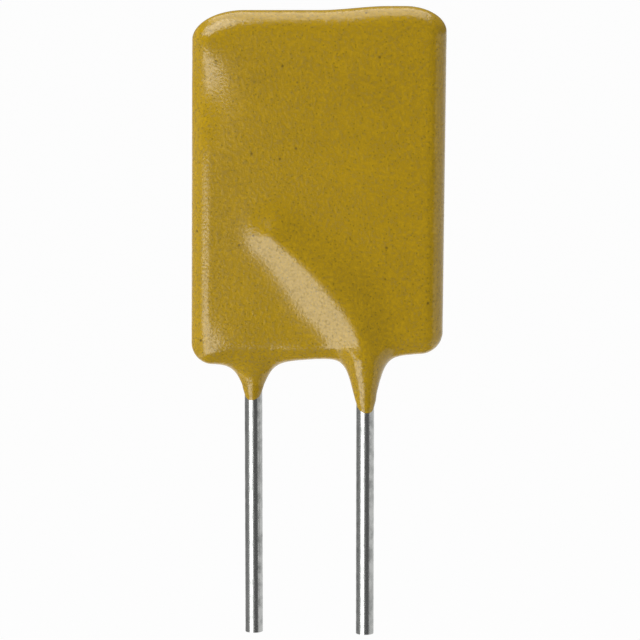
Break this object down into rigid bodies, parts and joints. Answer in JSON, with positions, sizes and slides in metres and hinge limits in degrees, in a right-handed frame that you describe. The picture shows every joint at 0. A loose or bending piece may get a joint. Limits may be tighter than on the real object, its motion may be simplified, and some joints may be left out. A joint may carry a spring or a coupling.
{
  "type": "resettable fuse",
  "caption": "Dipped radial-lead resettable fuse: a flat mustard yellow body with a flowed coat and two tinned wire leads.",
  "frame": {"origin": "midway between the two leads, level with the lowest tip of the coat, which is the seating plane", "axes": "+Z from the leads' ends towards the body, front face to -Y, +X to the right seen from the front"},
  "size_m": [0.0115, 0.003, 0.0289],
  "materials": {
    "epoxy_coat": "semi-gloss dip coat",
    "carbon_polymer": "matte",
    "nickel_foil": "satin",
    "tinned_wire": "bright drawn",
    "solder": "satin"
  },
  "bodies": {
    "root": {"coating": "epoxy_coat", "polymer_core": "carbon_polymer", "front_foil": "nickel_foil", "back_foil": "nickel_foil", "front_lead": "tinned_wire", "back_lead": "tinned_wire", "front_solder": "solder", "back_solder": "solder"}
  },
  "joints": []
}
